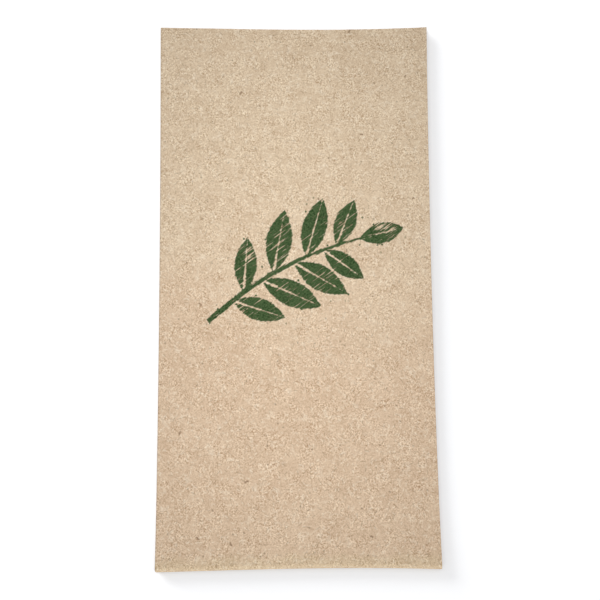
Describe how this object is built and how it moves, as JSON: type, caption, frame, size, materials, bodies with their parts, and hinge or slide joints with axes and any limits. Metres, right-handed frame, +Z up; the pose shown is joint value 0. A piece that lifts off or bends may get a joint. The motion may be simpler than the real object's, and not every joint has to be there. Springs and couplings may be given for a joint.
{
  "type": "paper napkin",
  "caption": "Square paper napkin folded twice lengthwise and once across into a long flat rectangle with a rounded closed end, for wiping hands and setting tables.",
  "frame": {"origin": "on the surface that the napkin lies on, below the middle of its outline", "axes": "+X across the folded napkin with the first lengthwise fold on the +X side, +Y from the closed cross fold to the open end, +Z up"},
  "size_m": [0.1008, 0.2006, 0.0035],
  "materials": {
    "tissue": "matte creped unbleached tissue with brown fibres"
  },
  "bodies": {
    "root": {"napkin": "tissue"}
  },
  "joints": []
}
